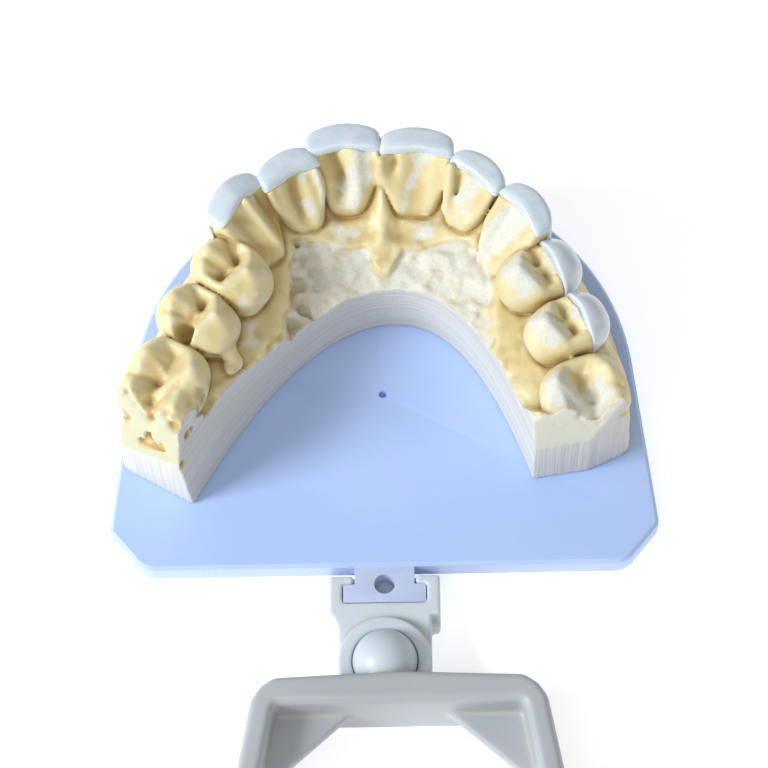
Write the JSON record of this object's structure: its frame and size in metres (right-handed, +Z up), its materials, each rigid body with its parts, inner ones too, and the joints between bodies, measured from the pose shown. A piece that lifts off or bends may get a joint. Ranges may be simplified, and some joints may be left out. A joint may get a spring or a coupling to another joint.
{
  "type": "dental articulator",
  "caption": "Dental articulator laid open flat: plaster casts on lavender base plates, each on a ball socket, joined by hinged U-shaped bows; the upper cast carries ceramic veneers.",
  "frame": {"origin": "middle of the table footprint, under the bow hinge's middle, with the articulator laid open flat", "axes": "+Z up; +Y along the centreline from the bow hinge to the upper front teeth; +X to the patient's left side of the upper cast as it lies teeth up, which is the right of the picture"},
  "size_m": [0.065, 0.2256, 0.0249],
  "materials": {
    "plate_plastic": "smooth satin lavender plastic",
    "plaster": "matt yellow dental stone, paler where it was ground",
    "veneer_ceramic": "glossy glazed ceramic, slightly translucent",
    "white_plastic": "satin white moulded plastic with faint stains in the corners",
    "bow_plastic": "satin greyish white moulded plastic",
    "pin_plastic": "satin white moulded plastic"
  },
  "bodies": {
    "lower_member": {"lower_base_plate": "plate_plastic", "lower_cast": "plaster", "lower_connector": "white_plastic"},
    "lower_bow": {"lower_bow": "bow_plastic"},
    "upper_bow": {"upper_bow": "bow_plastic", "hinge_pin_left": "pin_plastic", "hinge_pin_right": "pin_plastic"},
    "upper_member": {"upper_base_plate": "plate_plastic", "upper_cast": "plaster", "upper_connector": "white_plastic", "veneer_left_canine": "veneer_ceramic", "veneer_left_lateral": "veneer_ceramic", "veneer_left_central": "veneer_ceramic", "veneer_right_central": "veneer_ceramic", "veneer_right_lateral": "veneer_ceramic", "veneer_right_canine": "veneer_ceramic", "veneer_right_premolar_1": "veneer_ceramic", "veneer_right_premolar_2": "veneer_ceramic"}
  },
  "joints": [
    {"name": "lower_ball_pitch", "type": "hinge", "parent": "lower_member", "child": "lower_bow", "pos_m": [0, -0.046, 0.0048], "axis": [1, 0, 0], "range_deg": [0, 25]},
    {"name": "bow_hinge", "type": "hinge", "parent": "lower_bow", "child": "upper_bow", "pos_m": [0.0016, 0, 0.0048], "axis": [1, 0, 0], "range_deg": [0, 130]},
    {"name": "upper_ball_pitch", "type": "hinge", "parent": "upper_bow", "child": "upper_member", "pos_m": [0, 0.046, 0.0048], "axis": [1, 0, 0], "range_deg": [0, 25]}
  ]
}
